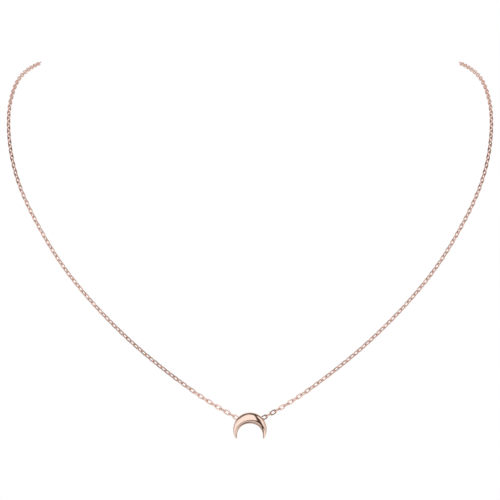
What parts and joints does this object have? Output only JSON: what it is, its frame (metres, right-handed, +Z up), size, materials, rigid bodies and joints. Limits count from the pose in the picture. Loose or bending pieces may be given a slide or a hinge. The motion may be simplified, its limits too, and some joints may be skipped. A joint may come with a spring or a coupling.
{
  "type": "pendant necklace",
  "caption": "Closed necklace of fine oval cable chain with a small domed crescent set in line, horns down, and a lobster clasp at the nape.",
  "frame": {"origin": "midway between the two places where the chain crosses the sides of the neck", "axes": "+X towards the right strand, +Y from the chest to the nape, +Z up, as worn by a standing person"},
  "size_m": [0.1286, 0.1188, 0.1073],
  "materials": {
    "rose_gold_chain": "polished rose-gold plate",
    "rose_gold_pendant": "mirror-polished rose-gold plate",
    "spring_steel": "plain spring wire"
  },
  "bodies": {
    "neck_chain": {"chain_right_09": "rose_gold_chain", "chain_left_09": "rose_gold_chain"},
    "front_top_chain": {"chain_right_07": "rose_gold_chain", "chain_right_08": "rose_gold_chain", "chain_left_07": "rose_gold_chain", "chain_left_08": "rose_gold_chain"},
    "front_upper_chain": {"chain_right_05": "rose_gold_chain", "chain_right_06": "rose_gold_chain", "chain_left_05": "rose_gold_chain", "chain_left_06": "rose_gold_chain"},
    "front_middle_chain": {"chain_right_03": "rose_gold_chain", "chain_right_04": "rose_gold_chain", "chain_left_03": "rose_gold_chain", "chain_left_04": "rose_gold_chain"},
    "front_low_chain": {"chain_right_01": "rose_gold_chain", "chain_right_02": "rose_gold_chain", "chain_left_01": "rose_gold_chain", "chain_left_02": "rose_gold_chain"},
    "pendant": {"crescent": "rose_gold_pendant", "right_back_loop": "rose_gold_chain", "left_back_loop": "rose_gold_chain"},
    "nape_chain": {"chain_right_10": "rose_gold_chain", "chain_right_11": "rose_gold_chain", "chain_right_12": "rose_gold_chain", "chain_left_10": "rose_gold_chain", "chain_left_11": "rose_gold_chain", "chain_left_12": "rose_gold_chain", "tail_ring": "rose_gold_chain", "end_ring": "rose_gold_chain"},
    "clasp": {"clasp_body": "rose_gold_chain", "clasp_pin": "rose_gold_chain", "clasp_spring": "spring_steel"},
    "gate": {"clasp_gate": "rose_gold_chain"}
  },
  "joints": [
    {"name": "front_top_lift", "type": "hinge", "parent": "neck_chain", "child": "front_top_chain", "pos_m": [0, -0.00506, -0.00111], "axis": [-1, 0, 0], "range_deg": [0, 45]},
    {"name": "front_upper_lift", "type": "hinge", "parent": "front_top_chain", "child": "front_upper_chain", "pos_m": [0, -0.03697, -0.01851], "axis": [-1, 0, 0], "range_deg": [0, 15]},
    {"name": "front_middle_lift", "type": "hinge", "parent": "front_upper_chain", "child": "front_middle_chain", "pos_m": [0, -0.05961, -0.04611], "axis": [-1, 0, 0], "range_deg": [0, 15]},
    {"name": "front_low_lift", "type": "hinge", "parent": "front_middle_chain", "child": "front_low_chain", "pos_m": [0, -0.07311, -0.07293], "axis": [-1, 0, 0], "range_deg": [0, 15]},
    {"name": "pendant_swing", "type": "hinge", "parent": "front_low_chain", "child": "pendant", "pos_m": [0, -0.0834, -0.09388], "axis": [-1, 0, 0], "range_deg": [0, 45]},
    {"name": "nape_lift", "type": "hinge", "parent": "neck_chain", "child": "nape_chain", "pos_m": [0, 0.00848, 0.00167], "axis": [1, 0, 0], "range_deg": [0, 40]},
    {"name": "clasp_roll", "type": "hinge", "parent": "nape_chain", "child": "clasp", "pos_m": [0, 0.0315, 0.006], "axis": [1, 0, 0], "range_deg": [-20, 20]},
    {"name": "clasp_gate_open", "type": "hinge", "parent": "clasp", "child": "gate", "pos_m": [-0.00192, 0.0315, 0.00705], "axis": [0, 1, 0], "range_deg": [0, 20], "stiffness_Nm_per_rad": 0.004, "springref_deg": -20.05, "deforming": ["clasp_spring"]}
  ]
}
